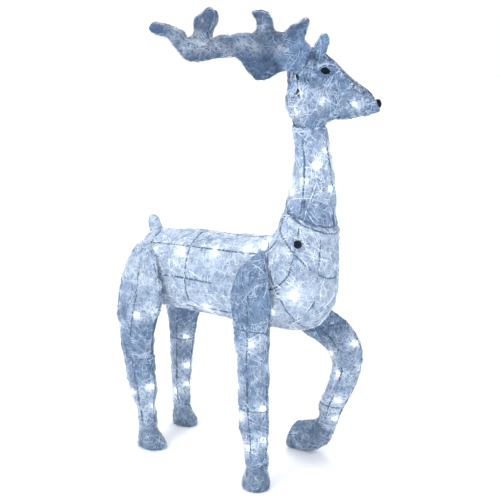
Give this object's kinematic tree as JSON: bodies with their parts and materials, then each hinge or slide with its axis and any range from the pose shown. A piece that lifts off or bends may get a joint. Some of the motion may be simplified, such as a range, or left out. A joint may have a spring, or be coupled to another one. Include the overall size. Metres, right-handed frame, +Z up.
{
  "type": "light up yard reindeer",
  "caption": "Life-like standing reindeer lawn decoration: hollow clear-thread skins on welded wire frames, lit from inside, with plug-in head, antlers and legs.",
  "frame": {"origin": "on the ground, below the middle of the whole object's box", "axes": "+Z up, +X the way the body faces, +Y the deer's left side"},
  "size_m": [0.684, 0.3977, 1.193],
  "materials": {
    "clear_threads": "clear spun threads, crystal look",
    "antler_threads": "finer, closer threads",
    "hoof_threads": "close threads",
    "frame_wire": "white coated steel wire",
    "tube_steel": "white coated steel",
    "lamp": "clear cool white lamp",
    "lamp_cable": "clear sheathed wire",
    "black_fitting": "moulded black",
    "black_gloss": "gloss black"
  },
  "bodies": {
    "torso": {"front_leg_tubes": "tube_steel", "hind_leg_tubes": "tube_steel", "inlet_nut": "black_fitting", "lamp_outlets": "black_fitting", "neck_sockets": "tube_steel", "power_inlet": "black_fitting", "tail_frame": "frame_wire", "tail_skin": "clear_threads", "torso_frame": "frame_wire", "torso_led_bulbs": "lamp", "torso_led_cable": "lamp_cable", "torso_skin": "clear_threads"},
    "head_and_neck": {"antler_sockets": "tube_steel", "head_frame": "frame_wire", "head_led_bulbs": "lamp", "head_led_cable": "lamp_cable", "head_skin": "clear_threads", "left_ear": "clear_threads", "left_eye": "black_gloss", "neck_frame": "frame_wire", "neck_led_bulbs": "lamp", "neck_led_cable": "lamp_cable", "neck_skin": "clear_threads", "nose": "black_gloss", "right_ear": "clear_threads", "right_eye": "black_gloss"},
    "left_antler": {"left_antler_frame": "frame_wire", "left_antler_led_bulbs": "lamp", "left_antler_led_cable": "lamp_cable", "left_antler_skin": "antler_threads"},
    "left_front_leg": {"left_front_hoof": "hoof_threads", "left_front_leg_frame": "frame_wire", "left_front_leg_led_bulbs": "lamp", "left_front_leg_led_cable": "lamp_cable", "left_front_leg_skin": "clear_threads"},
    "left_hind_leg": {"left_hind_hoof": "hoof_threads", "left_hind_leg_frame": "frame_wire", "left_hind_leg_led_bulbs": "lamp", "left_hind_leg_led_cable": "lamp_cable", "left_hind_leg_skin": "clear_threads"},
    "lock_screw": {"neck_lock_screw": "black_fitting"},
    "right_antler": {"right_antler_frame": "frame_wire", "right_antler_led_bulbs": "lamp", "right_antler_led_cable": "lamp_cable", "right_antler_skin": "antler_threads"},
    "right_front_leg": {"right_front_hoof": "hoof_threads", "right_front_leg_frame": "frame_wire", "right_front_leg_led_bulbs": "lamp", "right_front_leg_led_cable": "lamp_cable", "right_front_leg_skin": "clear_threads"},
    "right_hind_leg": {"right_hind_hoof": "hoof_threads", "right_hind_leg_frame": "frame_wire", "right_hind_leg_led_bulbs": "lamp", "right_hind_leg_led_cable": "lamp_cable", "right_hind_leg_skin": "clear_threads"}
  },
  "joints": [
    {"name": "head_lift", "type": "slide", "parent": "torso", "child": "head_and_neck", "axis": [0, 0, 1], "range_m": [0, 0.06]},
    {"name": "left_antler_pull", "type": "slide", "parent": "head_and_neck", "child": "left_antler", "axis": [-0.1378, 0.2387, 0.9613], "range_m": [0, 0.036]},
    {"name": "right_antler_pull", "type": "slide", "parent": "head_and_neck", "child": "right_antler", "axis": [0.1378, -0.2387, 0.9613], "range_m": [0, 0.036]},
    {"name": "lock_screw_turn", "type": "hinge", "parent": "torso", "child": "lock_screw", "pos_m": [0.2076, -0.0371, 0.636], "axis": [0, -1, 0], "range_deg": [0, 90]},
    {"name": "right_front_leg_pull", "type": "slide", "parent": "torso", "child": "right_front_leg", "axis": [0, -1, 0], "range_m": [0, 0.045]},
    {"name": "left_front_leg_pull", "type": "slide", "parent": "torso", "child": "left_front_leg", "axis": [0, 1, 0], "range_m": [0, 0.045]},
    {"name": "right_hind_leg_pull", "type": "slide", "parent": "torso", "child": "right_hind_leg", "axis": [0, -1, 0], "range_m": [0, 0.045]},
    {"name": "left_hind_leg_pull", "type": "slide", "parent": "torso", "child": "left_hind_leg", "axis": [0, 1, 0], "range_m": [0, 0.045]}
  ]
}
